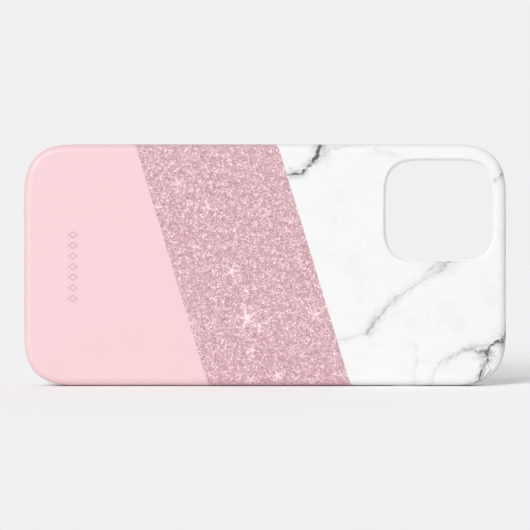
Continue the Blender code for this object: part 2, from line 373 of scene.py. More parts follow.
def shell_profile():
    """From the flat of the back, round the outside to the front edge, and back along the inside."""
    edge = 0.18
    return (
        [(BACK_EASE + FLAT_MARGIN, 0.0)]
        + turn((BACK_EASE, BACK_ROUND), (BACK_EASE, BACK_ROUND), -90, -180, steps=12)
        + turn((edge, SHELL_EDGE - edge), edge, 180, 90, steps=3)
        + turn((SHELL_WALL - edge, SHELL_EDGE - edge), edge, 90, 0, steps=3)
        + turn((BACK_ROUND, BACK_ROUND), BACK_ROUND - SHELL_WALL, 180, 270, steps=6)
        + [(BACK_ROUND + FLAT_MARGIN, SHELL_WALL)]
    )


def camera_hole_profile(step, start, end, mouth):
    """Insets from the camera opening's edge, with a mouth rounded by (width, depth) on the back side."""
    inner = 0.12
    wide, deep = mouth
    bevel, _ = quarter(1.0, MOUTH_POWER, steps=8)
    offsets = (
        [(step + wide + FLAT_MARGIN, start)]
        + [(step + wide * (1 - a), start + deep * (1 - b)) for a, b in reversed(bevel)]
        + turn((step + inner, end - inner), inner, 180, 90, steps=2)
        + [(step + wide + FLAT_MARGIN, end)]
    )
    return [(-offset, depth) for offset, depth in offsets]


def make_shell():
    """The hard shell, with its camera opening, its notches for the keys and its openings at the end."""
    bm = bmesh.new()
    back, inside = add_loft(bm, case_outline(), shell_profile(), on_back)
    hole_profile = camera_hole_profile(0.0, 0.0, SHELL_WALL, CAMERA_ROUND)
    hole_back, hole_inside = add_loft(bm, camera_outline(), hole_profile, on_back)
    fill_between(bm, back, hole_back)
    fill_between(bm, inside, hole_inside)
    shell = finish_mesh(bm, "printed_shell")
    cutters = []
    for side in (-1, 1):
        outline = notch_outline(side, 0.0, SHELL_EDGE + REACH)
        cutters.append(prism("notch", outline, [(0, -REACH), (0, LINER_INSET)], on_side(side)))
    offset, width, thickness = PORT
    start = KEY_DEPTH - thickness / 2
    cutters.append(end_slot(offset, width, start, SHELL_EDGE + REACH, "port"))
    for offset, width, thickness in VENTS:
        start, end = KEY_DEPTH - thickness / 2, KEY_DEPTH + thickness / 2
        cutters.append(end_slot(offset, width, start, end, "vent"))
    combine(shell, cutters, "DIFFERENCE")
    round_sharp_edges(shell, SHELL_BREAK, steps=3)
    shade(shell)
    return shell


# -------------------------------------------------------------------------------------------- liner


def liner_profile():
    """From the flat of the liner's back, up its outside, round the rim and the lip, and into the cavity."""
    core = BACK_ROUND - LINER_INSET
    fillet, edge, lip, lip_edge, corner = 0.15, 0.15, 0.45, 0.3, 0.5
    return (
        [(BACK_ROUND + FLAT_MARGIN, LINER_INSET)]
        + turn((BACK_ROUND, BACK_ROUND), core, -90, -180, steps=6)
        + turn((LINER_INSET - fillet, RIM_START - fillet), fillet, 0, 90, steps=2)
        + turn((edge, RIM_START + edge), edge, -90, -180, steps=3)
        + turn((FRONT_ROUND, DEPTH - FRONT_ROUND), FRONT_ROUND, 180, 90, steps=7)
        + turn((LIP_INSET - lip, DEPTH - lip), lip, 90, 0, steps=5)
        + turn((LIP_INSET - lip_edge, CAVITY_ROOF + lip_edge), lip_edge, 0, -90, steps=3)
        + turn((CAVITY_INSET + fillet, CAVITY_ROOF - fillet), fillet, 90, 180, steps=2)
        + turn((CAVITY_INSET + corner, LINER_FLOOR + corner), corner, 180, 270, steps=5)
        + [(CAVITY_INSET + corner + FLAT_MARGIN, LINER_FLOOR)]
    )


def make_boss(side):
    """The block that fills a key notch in the shell."""
    outline = notch_outline(side, BOSS_GAP, RIM_START + NOTCH_CORNER)
    top = turn((BOSS_EDGE, BOSS_INSET + BOSS_EDGE), BOSS_EDGE, 180, 270, steps=3)
    return prism("boss", outline, [(0, LINER_INSET + BOSS_ROOT)] + top, on_side(side))


def button_cutters(side, x, length):
    """The pocket for a cap, the slot for its plunger's stem, and the relief inside for the flange."""
    steps = (
        (length + 2 * CAP_GAP, CAP_WIDTH + 2 * CAP_GAP, -REACH, POCKET_FLOOR),
        (length - STEM_SHORTER + 2 * CAP_GAP, STEM_WIDTH + 2 * CAP_GAP, 0.0, REACH),
        (length + 2 * RELIEF_MARGIN, FLANGE_WIDTH + 2 * RELIEF_MARGIN, WEB_INNER, REACH),
    )
    for slot_length, width, outer, inner in steps:
        yield prism("cut", pill(slot_length, width, x), [(0, outer), (0, inner)], on_side(side))


def make_liner():
    """The soft liner, with its rim and lip, its bosses for the keys and all of its openings."""
    bm = bmesh.new()
    back, floor = add_loft(bm, case_outline(), liner_profile(), on_back)
    hole_profile = camera_hole_profile(CAMERA_LINER_STEP, LINER_INSET, LINER_FLOOR, CAMERA_LINER_ROUND)
    hole_back, hole_floor = add_loft(bm, camera_outline(), hole_profile, on_back)
    fill_between(bm, back, hole_back)
    fill_between(bm, floor, hole_floor)
    liner = finish_mesh(bm, "soft_liner")
    combine(liner, [make_boss(side) for side in (-1, 1)], "UNION")
    cutters = [prism("ring", pill(*RING_SLOT, RING_X), [(0, -REACH), (0, REACH)], on_side(-1))]
    for side, x, length in BUTTONS.values():
        cutters.extend(button_cutters(side, x, length))
    for offset, width, thickness in (PORT, *VENTS):
        step = CAMERA_LINER_STEP
        start, end = KEY_DEPTH - thickness / 2 - step, KEY_DEPTH + thickness / 2 + step
        cutters.append(end_slot(offset, width + 2 * step, start, end, "opening"))
    combine(liner, cutters, "DIFFERENCE")
    round_sharp_edges(liner, LINER_BREAK, steps=2)
    shade(liner)
    return liner


# The honeycomb of pads on the liner's floor.
PAD_PITCH = 4.6
PAD_GROOVE = 0.55
PAD_SIDE_ROOM = 1.6
PAD_EDGE = 0.1
PAD_SUNK = 0.05


def inside_outline(a, b, half, reach, power, centre=(0.0, 0.0)):
    """True if a point lies inside a rectangle with superellipse corners."""
    da, db = abs(a - centre[0]), abs(b - centre[1])
    if da > half[0] or db > half[1]:
        return False
    ca, cb = da - (half[0] - reach), db - (half[1] - reach)
    if ca <= 0 or cb <= 0:
        return True
    return (ca / reach) ** power + (cb / reach) ** power <= 1


def pad_fits(points):
    """True if all of a pad's corners have room between the cavity's sides and the camera opening."""
    room = CAVITY_INSET + PAD_SIDE_ROOM
    half = (LENGTH / 2 - room, HEIGHT / 2 - room)
    hole = (CAMERA_HALF[0] + PAD_SIDE_ROOM, CAMERA_HALF[1] + PAD_SIDE_ROOM)
    hole_reach = CAMERA_REACH + PAD_SIDE_ROOM
    for a, b in points:
        if not inside_outline(a, b, half, CORNER_REACH - room, CORNER_POWER):
            return False
        if inside_outline(a, b, hole, hole_reach, CAMERA_POWER, (CAMERA_X, CAMERA_Z)):
            return False
    return True


def hexagon(centre, radius):
    """The corners of a regular hexagon."""
    angles = [math.radians(60 * i + 30) for i in range(6)]
    return [(centre[0] + radius * math.cos(t), centre[1] + radius * math.sin(t)) for t in angles]


def add_pad(bm, centre, radius):
    """A low six-sided block, sunk a little into the liner's floor, with a rounded edge round its top."""
    profile = (
        (0.0, LINER_FLOOR - PAD_SUNK),
        (0.0, CAVITY_FLOOR - PAD_EDGE),
        (PAD_EDGE * 0.3, CAVITY_FLOOR - PAD_EDGE * 0.3),
        (PAD_EDGE, CAVITY_FLOOR),
    )
    rings = []
    for inset, depth in profile:
        corners = hexagon(centre, radius - inset)
        rings.append([bm.verts.new(on_back(a, b, depth)) for a, b in corners])
    join_rings(bm, rings, closed=True)


def make_floor_pads():
    """The honeycomb of low pads that the phone's back rests on."""
    radius = (PAD_PITCH - PAD_GROOVE) / math.sqrt(3)
    row_step = PAD_PITCH * math.sqrt(3) / 2
    rows = int(HEIGHT / 2 / row_step)
    columns = int(LENGTH / 2 / PAD_PITCH) + 1
    bm = bmesh.new()
    for row in range(-rows, rows + 1):
        for column in range(-columns, columns + 1):
            centre = ((column + 0.5 * (row % 2)) * PAD_PITCH, row * row_step)
            if pad_fits(hexagon(centre, radius)):
                add_pad(bm, centre, radius)
    pads = finish_mesh(bm, "liner_floor_pads")
    shade(pads, angle=50)
    return pads


# ------------------------------------------------------------------------------------------ buttons


def make_cap(name, side, x, length):
    """A metal cap with a bright chamfer and a slightly dished top."""
    low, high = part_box(name)
    outer = (cad_high.z - high.z if side > 0 else low.z - cad_low.z) * PER_MM
    inner = outer + (high.z - low.z) * PER_MM
    land = CAP_CHAMFER + CAP_LAND
    profile = (
        [(CAP_EDGE, inner), (0.0, inner - CAP_EDGE), (0.0, outer + CAP_CHAMFER + 0.02)]
        + turn((CAP_EDGE, outer + CAP_CHAMFER), CAP_EDGE, 180, 225, steps=2)
        + turn((CAP_CHAMFER + CAP_EDGE * 0.6, outer + CAP_EDGE), CAP_EDGE, 225, 270, steps=2)
        + [(land + inset, outer + depth) for inset, depth in CAP_DISH]
        + [(CAP_DISH_MIDDLE[0], outer + CAP_DISH_MIDDLE[1])]
    )
    cap = prism(name + "_metal", pill(length, CAP_WIDTH, x), profile, on_side(side))
    shade(cap, angle=28)
    return cap


# ----------------------------------------------------------------------------------------- node kit


class Signal:
    """A node's output that can be used in sums."""

    def __init__(self, graph, socket):
        self.graph = graph
        self.socket = socket

    def __add__(self, other):
        return self.graph.math("ADD", self, other)

    def __sub__(self, other):
        return self.graph.math("SUBTRACT", self, other)

    def __mul__(self, other):
        return self.graph.math("MULTIPLY", self, other)


class Graph:
    """Adds nodes to a node tree. Each method returns the new node's output as a Signal."""

    def __init__(self, tree):
        self.tree = tree

    def feed(self, socket, value):
        if isinstance(value, Signal):
            self.tree.links.new(value.socket, socket)
        else:
            socket.default_value = value

    def node(self, kind, inputs=(), output=0, **settings):
        node = self.tree.nodes.new(kind)
        for key, value in settings.items():
            setattr(node, key, value)
        for key, value in dict(inputs).items():
            self.feed(node.inputs[key], value)
        return Signal(self, node.outputs[output])

    def math(self, operation, a, b=0.0):
        return self.node("ShaderNodeMath", {0: a, 1: b}, operation=operation)

    def vector_math(self, operation, a, b=(0.0, 0.0, 0.0), output=0):
        return self.node("ShaderNodeVectorMath", {0: a, 1: b}, output, operation=operation)

    def vector(self, x, y, z):
        return self.node("ShaderNodeCombineXYZ", {0: x, 1: y, 2: z})

    def parts(self, vector):
        first = self.node("ShaderNodeSeparateXYZ", {0: vector})
        outputs = first.socket.node.outputs
        return [Signal(self, outputs[i]) for i in range(3)]

    def ease(self, value, low, high, to_low=0.0, to_high=1.0):
        """Maps a value from low..high to to_low..to_high along a smooth step, which holds it at both ends."""
        inputs = {"Value": value, 1: low, 2: high, 3: to_low, 4: to_high}
        return self.node("ShaderNodeMapRange", inputs, interpolation_type="SMOOTHSTEP", clamp=False)

    def between_0_and_1(self, value):
        return self.math("MINIMUM", self.math("MAXIMUM", value, 0.0), 1.0)

    def noise(self, vector, scale, detail=2.0, roughness=0.5, distortion=0.0, output=0):
        inputs = {"Vector": vector, "Scale": scale, "Detail": detail, "Roughness": roughness}
        inputs["Distortion"] = distortion
        return self.node("ShaderNodeTexNoise", inputs, output)

    def cells(self, vector, scale, output="Color"):
        return self.node("ShaderNodeTexVoronoi", {"Vector": vector, "Scale": scale}, output)

    def ramp(self, value, stops):
        """A colour for each (position, colour) stop, blended evenly."""
        result = self.node("ShaderNodeValToRGB", {0: value})
        elements = result.socket.node.color_ramp.elements
        for index, (position, colour) in enumerate(stops):
            element = elements[index] if index < 2 else elements.new(position)
            element.position = position
            element.color = (*colour, 1.0)
        return result

    def mix(self, share, a, b, blend="MIX"):
        node = self.tree.nodes.new("ShaderNodeMix")
        node.data_type = "RGBA"
        node.blend_type = blend
        self.feed(node.inputs[0], share)
        self.feed(node.inputs[6], a if isinstance(a, Signal) else (*a, 1.0))
        self.feed(node.inputs[7], b if isinstance(b, Signal) else (*b, 1.0))
        return Signal(self, node.outputs[2])

    def bump(self, height, strength, distance):
        inputs = {"Height": height, "Strength": strength, "Distance": distance}
        return self.node("ShaderNodeBump", inputs)


def new_material(name):
    """A material with a Principled surface. Returns it, its graph and the surface's inputs."""
    material = bpy.data.materials.new(name)
    material.use_nodes = True
    surface = material.node_tree.nodes["Principled BSDF"]
    return material, Graph(material.node_tree), surface.inputs


def linear(*srgb):
    """A linear colour from 8-bit sRGB values."""
    return tuple(((v / 255 + 0.055) / 1.055) ** 2.4 for v in srgb)


def position_mm(graph):
    """The place on the object, in the frame, in millimetres."""
    place = graph.node("ShaderNodeTexCoord", output="Object")
    return graph.vector_math("MULTIPLY", place, (PER_MM, PER_MM, PER_MM))


# ---------------------------------------------------------------------------------------- the print

# The back face gets this many times the light that would show a colour as it is, so the print's colours are
# divided by it.
FACE_LIGHT = 1.37

# The print's two borders are parallel and lean by this much from upright.
LEAN = math.radians(16.9)
PINK_BORDER = -16.9
MARBLE_BORDER = 25.6

# Half the blur of both borders, and the width of the strip in which grains stray over the pink one.
BORDER_BLUR = 0.06
GLITTER_STRAY = 0.5

BLUSH_DEEP = linear(245.8, 210.6, 215.5)
BLUSH_PALE = linear(246.8, 211.4, 216.5)
GLITTER_TONES = (
    (0.0, linear(186, 142, 154)),
    (0.3, linear(205, 161, 171)),
    (0.6, linear(219, 177, 186)),
    (1.0, linear(246, 206, 213)),
)
GLITTER_SHADOW = linear(146, 112, 122)

# A glint is redder than white is, because a flake mirrors the light.
GLINT = linear(268, 244, 249)

# Each grain's hue lies between these two, as multiples of the glitter's own colour.
GRAIN_ROSY = (1.045, 0.985, 0.988)
GRAIN_GREYISH = (0.955, 1.015, 1.012)

# The glitter's even grain: its two sizes, in cells per millimetre, and how far the fine one's pattern is
# shifted from the coarse one's.
COARSE_GRAINS = 2.3
FINE_GRAINS = 3.6
FINE_SHIFT = (31.7, 12.3, 0.0)

# How much the grain's two sizes and the slow patches vary its tone, and the tone that they vary.
COARSE_CONTRAST = 0.62
FINE_CONTRAST = 0.6
PATCH_CONTRAST = 1.65
MIDDLE_TONE = 0.48

# Flecks: cells per millimetre, the pattern's shift, the share of cells that hold one, and its strength.
# A fleck is solid up to the first distance from its cell's middle and gone at the second.
LARGE_FLECKS = {"scale": 1.6, "shift": 5.1, "share": 0.17, "strength": 0.95}
SMALL_FLECKS = {"scale": 2.5, "shift": 47.9, "share": 0.26, "strength": 0.78}
DARK_FLECKS = {"scale": 2.5, "shift": 77.3, "share": 0.14, "strength": 0.75}
FLECK_FADE = (0.25, 0.6)

# The marble is cooler towards the case's end: from one place along X to another.
MARBLE = linear(246.4, 248.4, 247.4)
MARBLE_COOL = linear(245.4, 246.5, 247)
COOLING = (30.0, 72.0)

VEIN = linear(84, 86, 88)
MOTIF = linear(223, 186, 194)

# Veins: points as (x from the middle, z from the lower edge, half width, darkness), in order along each.
VEINS = (
    ((17.4, 78.0, 0.8, 1.0), (16.4, 72.2, 1.1, 1.1), (14.2, 69.0, 0.7, 0.9), (11.4, 66.6, 0.7, 1.0),
     (8.4, 66.0, 0.8, 1.1), (6.8, 65.8, 0.6, 0.6), (4.2, 64.0, 0.7, 0.7)),
    ((18.4, 71.8, 1.6, 0.3), (20.6, 73.8, 0.9, 0.3), (24.0, 74.8, 0.7, 0.22), (31.0, 75.6, 0.5, 0.12)),
    ((60.0, 42.0, 1.8, 0.5), (56.2, 37.8, 1.6, 0.46), (51.2, 33.8, 0.9, 0.2), (47.0, 31.2, 0.7, 0.26),
     (43.6, 29.6, 0.7, 0.3), (38.2, 25.0, 0.9, 0.42), (33.8, 19.2, 1.1, 0.5), (32.0, 16.4, 1.1, 0.5),
     (30.0, 16.2, 0.5, 0.1), (26.8, 15.4, 0.9, 0.25), (23.0, 14.0, 0.9, 0.2)),
    ((57.4, 42.0, 1.5, 0.4), (53.4, 37.6, 1.4, 0.34), (50.2, 34.8, 1.0, 0.2), (46.0, 31.0, 0.8, 0.12)),
    ((84.0, 22.0, 0.6, 0.8), (79.0, 19.6, 0.7, 0.9), (75.0, 15.2, 0.7, 1.0), (71.6, 13.6, 0.6, 1.0),
     (70.2, 12.0, 0.6, 1.2), (69.2, 9.6, 0.7, 1.1), (69.6, 7.8, 0.5, 0.9), (68.0, 6.0, 0.5, 1.1),
     (66.6, 1.4, 0.8, 1.1), (65.0, -4.0, 0.8, 0.9)),
    ((82.0, 18.6, 0.8, 0.4), (76.4, 15.4, 1.0, 0.7), (74.2, 13.8, 1.8, 1.0), (71.8, 13.0, 0.7, 0.6)),
    ((69.4, 9.8, 1.4, 0.8), (67.6, 9.6, 1.0, 0.5), (66.0, 10.6, 0.7, 0.5), (64.8, 11.6, 1.0, 0.55),
     (60.9, 10.5, 0.8, 0.36), (58.0, 8.8, 0.8, 0.3), (55.0, 7.4, 0.7, 0.3), (52.6, 4.6, 0.5, 0.16),
     (51.4, -3.0, 0.6, 0.26)),
    ((64.8, 11.6, 0.8, 0.45), (66.8, 12.5, 0.7, 0.35), (69.8, 12.2, 0.8, 0.4)),
    ((69.0, 10.4, 1.7, 0.9), (67.4, 10.8, 1.5, 0.7)),
    ((69.6, 6.8, 0.5, 0.4), (70.0, 4.0, 0.6, 0.45), (68.6, 1.2, 0.6, 0.4), (67.4, -3.0, 0.6, 0.35)),
    ((46.2, 13.8, 0.6, 0.12), (47.2, 9.8, 0.6, 0.12), (47.6, 7.8, 0.7, 0.16), (46.4, 4.0, 0.6, 0.14),
     (46.4, -3.0, 0.6, 0.18)),
    ((47.8, 7.6, 0.5, 0.08), (54.4, 7.2, 0.5, 0.08)),
    ((80.0, 69.2, 0.9, 0.6), (74.0, 65.6, 0.8, 0.6), (70.0, 63.4, 0.5, 0.3)),
    ((34.0, 73.6, 1.3, 0.14), (38.0, 72.6, 1.2, 0.16), (43.5, 70.8, 1.1, 0.06)),
)

# Bright stars in the glitter: x, z, radius and strength.
STARS = (
    (-5.6, 21.0, 4.6, 1.0), (-10.4, 35.9, 2.6, 1.0), (15.9, 22.2, 2.8, 0.95), (-4.2, 11.0, 2.5, 0.9),
    (3.8, 3.0, 2.8, 0.95), (-4.6, 1.8, 2.4, 0.85), (-1.8, 18.8, 2.6, 0.8), (-6.0, 29.6, 2.2, 0.8),
    (-17.7, 55.7, 2.6, 0.85), (-27.0, 63.0, 3.0, 0.75), (-22.8, 19.3, 2.2, 0.75),
)

# The stars' rays, as waves round the middle raised to a power, and their round core, as a share of a radius.
STAR_WAVES = 2.5
STAR_SHARPNESS = 6.0
STAR_CORE = 0.45

# The row of small diamonds: x, the lowest one's z, their spacing and number, and half sizes.
MOTIF_X = -59.9
MOTIF_Z = 27.2
MOTIF_STEP = 3.3
MOTIF_COUNT = 7
MOTIF_HALF = (1.7, 1.2)

# As shares of those half sizes: where the drawn line runs, and how far from it the ink fades and is gone.
MOTIF_LINE = 0.8
MOTIF_FADE = (0.16, 0.3)

# A vein is fully dark over this share of its half width. Its haze reaches this many half widths, and
# then this much further.
VEIN_CORE = 0.15
VEIN_HAZE = 3.0
VEIN_HAZE_MORE = 0.6


def vein_group():
    """A node group: how dark one stretch of a vein makes a point, by its knotted core and feathered haze."""
    group = bpy.data.node_groups.new("vein_stretch", "ShaderNodeTree")
    vectors = ("Point", "Start", "Along", "Share per mm")
    numbers = ("Knots", "Feathers", "Width", "Width change", "Dark", "Dark change")
    for name in vectors:
        group.interface.new_socket(name, in_out="INPUT", socket_type="NodeSocketVector")
    for name in numbers:
        group.interface.new_socket(name, in_out="INPUT", socket_type="NodeSocketFloat")
    group.interface.new_socket("Darkness", in_out="OUTPUT", socket_type="NodeSocketFloat")
    graph = Graph(group)
    source = group.nodes.new("NodeGroupInput").outputs
    signals = [Signal(graph, source[name]) for name in vectors + numbers]
    point, start, along, share_per_mm, knots, feathers, width, width_change, dark, dark_change = signals
    away = graph.vector_math("SUBTRACT", point, start)
    share = graph.between_0_and_1(graph.vector_math("DOT_PRODUCT", away, share_per_mm, "Value"))
    nearest = graph.node("ShaderNodeVectorMath", {0: along, "Scale": share}, operation="SCALE")
    distance = graph.vector_math("DISTANCE", away, nearest, "Value")
    width = width + width_change * share
    core = graph.ease(distance, width * VEIN_CORE, width, to_low=1.0, to_high=0.0) * knots
    reach = width * VEIN_HAZE + VEIN_HAZE_MORE
    haze = graph.ease(distance, 0.0, reach, to_low=1.0, to_high=0.0) * feathers
    darkness = graph.math("MAXIMUM", core, haze) * (dark + dark_change * share)
    graph.feed(group.nodes.new("NodeGroupOutput").inputs[0], darkness)
    return group


def print_place(graph):
    """Where a point falls on the flat print, which wraps over the back's edges onto the sides."""
    x, y, z = graph.parts(position_mm(graph))
    nx, _, nz = graph.parts(graph.node("ShaderNodeTexCoord", output="Normal"))
    depth = y + DEPTH / 2
    return x + nx * depth, z + nz * depth


def wander(graph, point, scale, detail, amount):
    """Moves a point on the print about by a fractal noise.

    The last step is a Mapping node and not a sum, because it makes Cycles work out the stretches of the veins
    last, one by one. If it holds values for all of them at once, the shader is too big and renders black.
    """
    noise = graph.noise(point, scale, detail, roughness=0.62, output="Color")
    noise = graph.vector_math("SUBTRACT", noise, (0.5, 0.5, 0.5))
    offset = graph.vector_math("MULTIPLY", noise, (amount, amount, 0.0))
    return graph.node("ShaderNodeMapping", {"Vector": point, "Location": offset})


def vein_darkness(graph, point, darkness):
    """The darker of a given darkness and that of every stretch of every vein."""
    warped = wander(graph, point, scale=0.3, detail=6.0, amount=3.4)
    frayed = wander(graph, point, scale=0.5, detail=4.0, amount=4.0)
    knots = graph.noise(point, scale=0.7, detail=4.0, roughness=0.6)
    knots = graph.ease(knots, 0.36, 0.6, to_low=0.5, to_high=1.1)
    feathers = graph.noise(frayed, scale=0.45, detail=6.0, roughness=0.68)
    feathers = graph.ease(feathers, 0.4, 0.64, to_low=0.1, to_high=0.62)
    group = vein_group()
    for vein in VEINS:
        for (x1, z1, width_1, dark_1), (x2, z2, width_2, dark_2) in zip(vein, vein[1:]):
            along = Vector((x2 - x1, z2 - z1, 0.0))
            inputs = {
                "Point": warped,
                "Start": (x1, z1, 0.0),
                "Along": along,
                "Share per mm": along / along.length_squared,
                "Knots": knots,
                "Feathers": feathers,
                "Width": width_1,
                "Width change": width_2 - width_1,
                "Dark": dark_1,
                "Dark change": dark_2 - dark_1,
            }
            stretch = graph.node("ShaderNodeGroup", inputs, node_tree=group)
            darkness = graph.math("MAXIMUM", darkness, stretch)
    return graph.between_0_and_1(darkness)


def marble_colour(graph, point, x):
    """White marble with grey veins, faint clouds and fainter specks, cooler towards the case's end."""
    cloudy = wander(graph, point, scale=0.15, detail=3.0, amount=12.0)
    clouds = graph.noise(cloudy, scale=0.12, detail=6.0, roughness=0.6)
    clouds = graph.ease(clouds, 0.48, 0.72, to_high=0.06)
    speckled = wander(graph, point, scale=0.4, detail=3.0, amount=5.0)
    specks = graph.noise(speckled, scale=0.5, detail=6.0, roughness=0.7)
    specks = graph.ease(specks, 0.58, 0.74, to_high=0.09)
    darkness = vein_darkness(graph, point, graph.math("MAXIMUM", clouds, specks))
    ground = graph.mix(graph.ease(x, *COOLING), MARBLE, MARBLE_COOL)
    return graph.mix(darkness, ground, VEIN)


def star_light(graph, point):
    """How strongly the glitter shines at its stars, each a soft spot with uneven rays, turned by its x."""
    total = None
    frayed = wander(graph, point, scale=1.2, detail=3.0, amount=1.6)
    for x, z, radius, strength in STARS:
        away = graph.vector_math("SUBTRACT", frayed, (x, z, 0.0))
        distance = graph.vector_math("LENGTH", away, output="Value")
        a, b, _ = graph.parts(away)
        angle = graph.math("ARCTAN2", a, b)
        wave = graph.math("ABSOLUTE", graph.math("COSINE", angle * STAR_WAVES + x))
        rays = graph.math("POWER", wave, STAR_SHARPNESS)
        glow = graph.ease(distance, 0.0, rays * radius + radius * STAR_CORE, to_low=strength, to_high=0.0)
        total = glow if total is None else graph.math("MAXIMUM", total, glow)
    return total


def flecks(graph, point, spread, scale, shift, share, strength):
    """A mask of small separate grains with soft edges, in a share of the cells that the spread raises."""
    moved = graph.vector_math("ADD", point, (shift, shift * 0.7, 0.0))
    pick = graph.parts(graph.cells(moved, scale))[1]
    near = graph.cells(moved, scale, output="Distance")
    chosen = graph.ease(pick + spread, 1.0 - share, 1.0 - share * 0.4)
    return chosen * graph.ease(near, *FLECK_FADE, to_low=1.0, to_high=0.0) * strength


def grain_colour(graph, point):
    """The glitter's even grain: a tone and a hue for each cell, over slow patches of light and dark."""
    coarse, _, hue = graph.parts(graph.cells(point, COARSE_GRAINS))
    moved = graph.vector_math("ADD", point, FINE_SHIFT)
    fine = graph.parts(graph.cells(moved, FINE_GRAINS))[0]
    patches = graph.noise(point, scale=0.8, detail=5.0, roughness=0.7)
    grain = (coarse - 0.5) * COARSE_CONTRAST + (fine - 0.5) * FINE_CONTRAST
    tone = grain + (patches - 0.5) * PATCH_CONTRAST + MIDDLE_TONE
    colour = graph.ramp(tone, GLITTER_TONES)
    return graph.mix(1.0, colour, graph.mix(hue, GRAIN_ROSY, GRAIN_GREYISH), "MULTIPLY")


def glitter_colour(graph, point):
    """Fine glitter: an even grain, with light flecks that gather in loose clusters and a few dark ones."""
    glow = star_light(graph, point)
    crowd = graph.noise(point, scale=0.4, detail=6.0, roughness=0.8)
    cluster = graph.ease(crowd, 0.4, 0.62, to_low=-0.14, to_high=0.34) + glow * 0.8
    gloom = graph.noise(point, scale=0.33, detail=5.0, roughness=0.75)
    dark_cluster = graph.ease(gloom, 0.36, 0.6, to_low=0.14, to_high=-0.1)
    dark = flecks(graph, point, dark_cluster, **DARK_FLECKS)
    large = flecks(graph, point, cluster, **LARGE_FLECKS)
    small = flecks(graph, point, cluster, **SMALL_FLECKS)
    light = graph.math("MAXIMUM", large, small)
    base = graph.mix(dark, grain_colour(graph, point), GLITTER_SHADOW)
    return graph.mix(graph.math("MAXIMUM", light, glow * glow), base, GLINT)


def motif_mask(graph, x, z):
    """A column of small outlined diamonds."""
    bottom = MOTIF_Z - MOTIF_STEP / 2
    top = bottom + MOTIF_COUNT * MOTIF_STEP
    inside = graph.math("GREATER_THAN", z, bottom) * graph.math("LESS_THAN", z, top)
    local = graph.math("FRACT", (z - bottom) * (1 / MOTIF_STEP)) * MOTIF_STEP
    across = graph.math("ABSOLUTE", x - MOTIF_X) * (1 / MOTIF_HALF[0])
    upward = graph.math("ABSOLUTE", local - MOTIF_STEP / 2) * (1 / MOTIF_HALF[1])
    from_line = graph.math("ABSOLUTE", across + upward - MOTIF_LINE)
    return graph.ease(from_line, *MOTIF_FADE, to_low=1.0, to_high=0.0) * inside


def print_colour(graph):
    """The whole print: blush, then glitter, then marble, between two slanting parallel borders."""
    x, z = print_place(graph)
    point = graph.vector(x, z, 0.0)
    slant = x * math.cos(LEAN) + z * math.sin(LEAN)
    drift = graph.ease(graph.noise(point, scale=0.05), 0.3, 0.7)
    blush = graph.mix(drift, BLUSH_DEEP, BLUSH_PALE)
    blush = graph.mix(motif_mask(graph, x, z), blush, MOTIF)
    ragged = slant + (graph.noise(point, scale=2.5) - 0.5) * GLITTER_STRAY
    in_glitter = graph.ease(ragged, PINK_BORDER - BORDER_BLUR, PINK_BORDER + BORDER_BLUR)
    in_marble = graph.ease(slant, MARBLE_BORDER - BORDER_BLUR, MARBLE_BORDER + BORDER_BLUR)
    colour = graph.mix(in_glitter, blush, glitter_colour(graph, point))
    return graph.mix(in_marble, colour, marble_colour(graph, point, x))


def print_material():
    """The printed coat: the print under a semi-gloss clear layer with a faint orange peel."""
    material, graph, surface = new_material("printed_coat")
    colour = print_colour(graph)
    graph.feed(surface["Base Color"], graph.mix(1.0, colour, (1 / FACE_LIGHT,) * 3, "MULTIPLY"))
    place = position_mm(graph)
    haze = graph.noise(place, scale=0.35, detail=3.0, roughness=0.6)
    graph.feed(surface["Roughness"], graph.ease(haze, 0.3, 0.7, to_low=0.42, to_high=0.5))
    graph.feed(surface["IOR"], 1.42)
    graph.feed(surface["Coat Weight"], 0.08)
    graph.feed(surface["Coat Roughness"], 0.25)
    peel = graph.noise(place, scale=0.9)
    graph.feed(surface["Normal"], graph.bump(peel, strength=0.25, distance=0.00002))
    return material


# ---------------------------------------------------------------------------------- other materials

# Elastomers: name, darker and lighter tone, and roughness. The pads are slightly polished, and their tone is
# painted lighter than the liner's: a painted highlight on their tops against the darker grooves between them.
LINER_ELASTOMER = ("liner_elastomer", linear(208, 208, 211), linear(213, 213, 215), 0.52)
PAD_ELASTOMER_PAINTED_LIGHTER = ("polished_pad_elastomer_painted_lighter", linear(224, 224, 227), linear(229, 229, 231), 0.36)
PLUNGER_ELASTOMER = ("plunger_elastomer", linear(150, 150, 154), linear(162, 162, 166), 0.5)


def bare_plastic_material():
    """The shell's unprinted inside: white moulded polycarbonate with a fine spark texture."""
    material, graph, surface = new_material("bare_polycarbonate")
    place = position_mm(graph)
    tone = graph.noise(place, scale=0.06, detail=3.0)
    tones = ((0.3, linear(236, 234, 233)), (0.7, linear(243, 241, 240)))
    graph.feed(surface["Base Color"], graph.ramp(tone, tones))
    spark = graph.noise(place, scale=6.0, detail=3.0, roughness=0.6)
    graph.feed(surface["Roughness"], graph.ease(spark, 0.3, 0.7, to_low=0.42, to_high=0.55))
    graph.feed(surface["Normal"], graph.bump(spark, strength=0.3, distance=0.00003))
    return material


